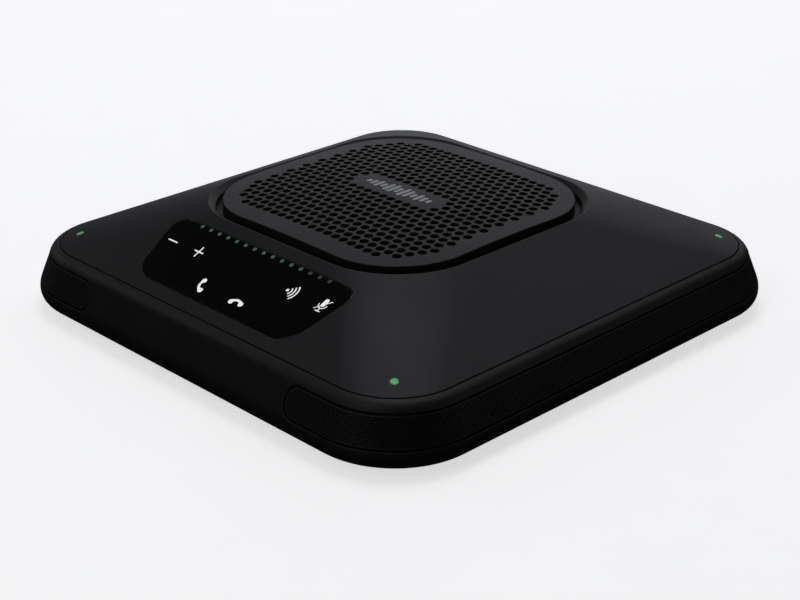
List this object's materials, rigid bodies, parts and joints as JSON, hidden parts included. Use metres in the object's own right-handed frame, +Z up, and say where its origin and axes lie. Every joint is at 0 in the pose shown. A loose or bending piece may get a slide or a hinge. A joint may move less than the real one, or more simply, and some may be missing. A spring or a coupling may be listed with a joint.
{
  "type": "conference speakerphone",
  "caption": "Square table-top speakerphone with a domed speaker grille, a sloping deck with a glossy touch panel, mesh strips round its sides, corner indicators and rear ports.",
  "frame": {"origin": "on the table, under the middle of the housing", "axes": "+Z up, -Y towards the side with the touch panel, +X to the right as a person facing that panel sees it"},
  "size_m": [0.24, 0.24, 0.0502],
  "materials": {
    "housing_plastic": "fine grained moulded black",
    "grille_paint": "satin black powder coat",
    "side_mesh": "fine black mesh",
    "lining_cloth": "black acoustic cloth",
    "panel_gloss": "polished black",
    "indicator_lens": "clear green",
    "rubber_black": "matte",
    "mic_can": "satin",
    "screw_steel": "zinc plated",
    "circuit_board": "green solder mask",
    "chip_black": "moulded",
    "shield_can": "tinned",
    "led_white": "diffused",
    "inner_plastic": "moulded black",
    "speaker_frame": "black coat",
    "magnetic_iron": "plated",
    "ferrite": "ground ferrite",
    "coil_copper": "enamelled copper",
    "cone_paper": "black pulp",
    "spider_cloth": "doped cotton",
    "battery_wrap": "shrink sleeve",
    "port_plastic": "fine moulded black",
    "socket_steel": "plated",
    "cable_jacket": "matte"
  },
  "bodies": {
    "housing": {"aux_socket": "inner_plastic", "battery_pack": "battery_wrap", "board_chips": "chip_black", "board_screws": "screw_steel", "bottom_cover": "housing_plastic", "capacitors": "chip_black", "case_screws": "screw_steel", "corner_board_front_left": "circuit_board", "corner_board_front_right": "circuit_board", "corner_board_rear_left": "circuit_board", "corner_board_rear_right": "circuit_board", "dc_socket": "inner_plastic", "foot_front_left": "rubber_black", "foot_front_right": "rubber_black", "foot_rear_left": "rubber_black", "foot_rear_right": "rubber_black", "grille_cloth": "lining_cloth", "internal_cables": "cable_jacket", "light_mask": "inner_plastic", "light_pipe_front_left": "indicator_lens", "light_pipe_front_right": "indicator_lens", "light_pipe_rear_left": "indicator_lens", "light_pipe_rear_right": "indicator_lens", "main_board": "circuit_board", "mesh_lining_left": "lining_cloth", "mesh_lining_right": "lining_cloth", "mic_boot_front_left": "rubber_black", "mic_boot_front_right": "rubber_black", "mic_boot_rear_left": "rubber_black", "mic_boot_rear_right": "rubber_black", "mic_capsule_front_left": "mic_can", "mic_capsule_front_right": "mic_can", "mic_capsule_rear_left": "mic_can", "mic_capsule_rear_right": "mic_can", "port_panel": "port_plastic", "power_switch": "chip_black", "radio_module": "shield_can", "side_frame": "housing_plastic", "side_mesh_left": "side_mesh", "side_mesh_right": "side_mesh", "speaker_basket": "speaker_frame", "speaker_box": "inner_plastic", "speaker_gasket": "rubber_black", "speaker_grille": "grille_paint", "speaker_magnet": "ferrite", "speaker_screws": "screw_steel", "speaker_top_plate": "magnetic_iron", "speaker_yoke": "magnetic_iron", "spider": "spider_cloth", "surround": "rubber_black", "top_cover": "housing_plastic", "touch_board": "circuit_board", "touch_leds": "led_white", "touch_panel": "panel_gloss", "usb_socket": "socket_steel"},
    "speaker_cone": {"voice_coil": "coil_copper", "speaker_cone": "cone_paper", "dust_cap": "cone_paper"},
    "power_button": {"power_button": "port_plastic"}
  },
  "joints": [
    {"name": "cone_travel", "type": "slide", "parent": "housing", "child": "speaker_cone", "axis": [0, 0, 1], "range_m": [-0.003, 0.003], "stiffness_N_per_m": 800, "deforming": ["surround", "spider"]},
    {"name": "power_press", "type": "slide", "parent": "housing", "child": "power_button", "axis": [0, -1, 0], "range_m": [0, 0.0006], "stiffness_N_per_m": 300, "springref_m": -0.005}
  ]
}
